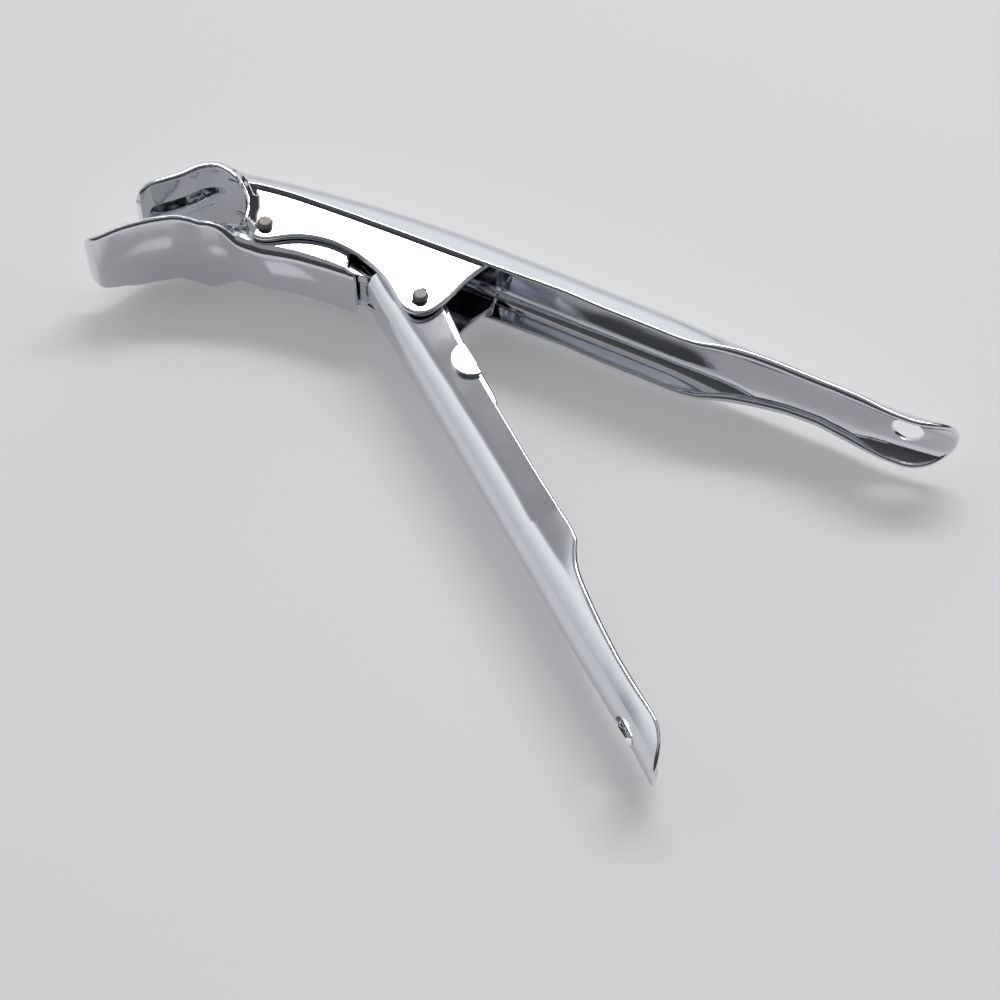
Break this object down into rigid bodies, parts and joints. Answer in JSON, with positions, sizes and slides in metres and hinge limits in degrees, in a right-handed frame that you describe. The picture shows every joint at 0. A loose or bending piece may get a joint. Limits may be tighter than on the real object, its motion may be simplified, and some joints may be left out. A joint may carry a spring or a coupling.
{
  "type": "hot pan and bowl gripper",
  "caption": "Spring-opened compound-lever gripper in chrome-plated pressed steel: squeezing two channel handles closes a lower jaw on an upper one.",
  "frame": {"origin": "centre of the outline of the open tool as it lies on its side, on the surface it lies on", "axes": "+X along the upper handle from the jaws to the handle tip, +Y towards the upper handle's back, +Z along both pins"},
  "size_m": [0.1726, 0.0918, 0.0204],
  "materials": {
    "chrome_frame": "bright chrome plate on pressed steel",
    "chrome_upper_shell": "bright chrome plate on pressed steel",
    "chrome_lower_jaw": "bright chrome plate, slightly wavy from pressing",
    "chrome_lever": "bright chrome plate on pressed steel",
    "chrome_lower_shell": "bright chrome plate on pressed steel",
    "pin_steel": "plain turned steel, duller and warmer than the plate",
    "spring_steel": "drawn spring wire"
  },
  "bodies": {
    "frame": {"upper_frame": "chrome_frame", "upper_handle_shell": "chrome_upper_shell", "jaw_pin": "pin_steel", "handle_pin": "pin_steel", "return_spring": "spring_steel"},
    "jaw": {"lower_jaw": "chrome_lower_jaw"},
    "grip": {"lower_handle_shell": "chrome_lower_shell", "lower_lever": "chrome_lever"}
  },
  "joints": [
    {"name": "handle_hinge", "type": "hinge", "parent": "frame", "child": "grip", "pos_m": [-0.01894, 0.02666, 0.0102], "axis": [0, 0, 1], "range_deg": [0, 22]},
    {"name": "jaw_hinge", "type": "hinge", "parent": "frame", "child": "jaw", "pos_m": [-0.05469, 0.03016, 0.0102], "axis": [0, 0, 1], "range_deg": [-17, 0], "stiffness_Nm_per_rad": 0.13, "springref_deg": 28.65, "deforming": ["return_spring"]}
  ],
  "couplings": [
    {"joint": "jaw_hinge", "follows": "handle_hinge", "ratio": -0.75}
  ]
}
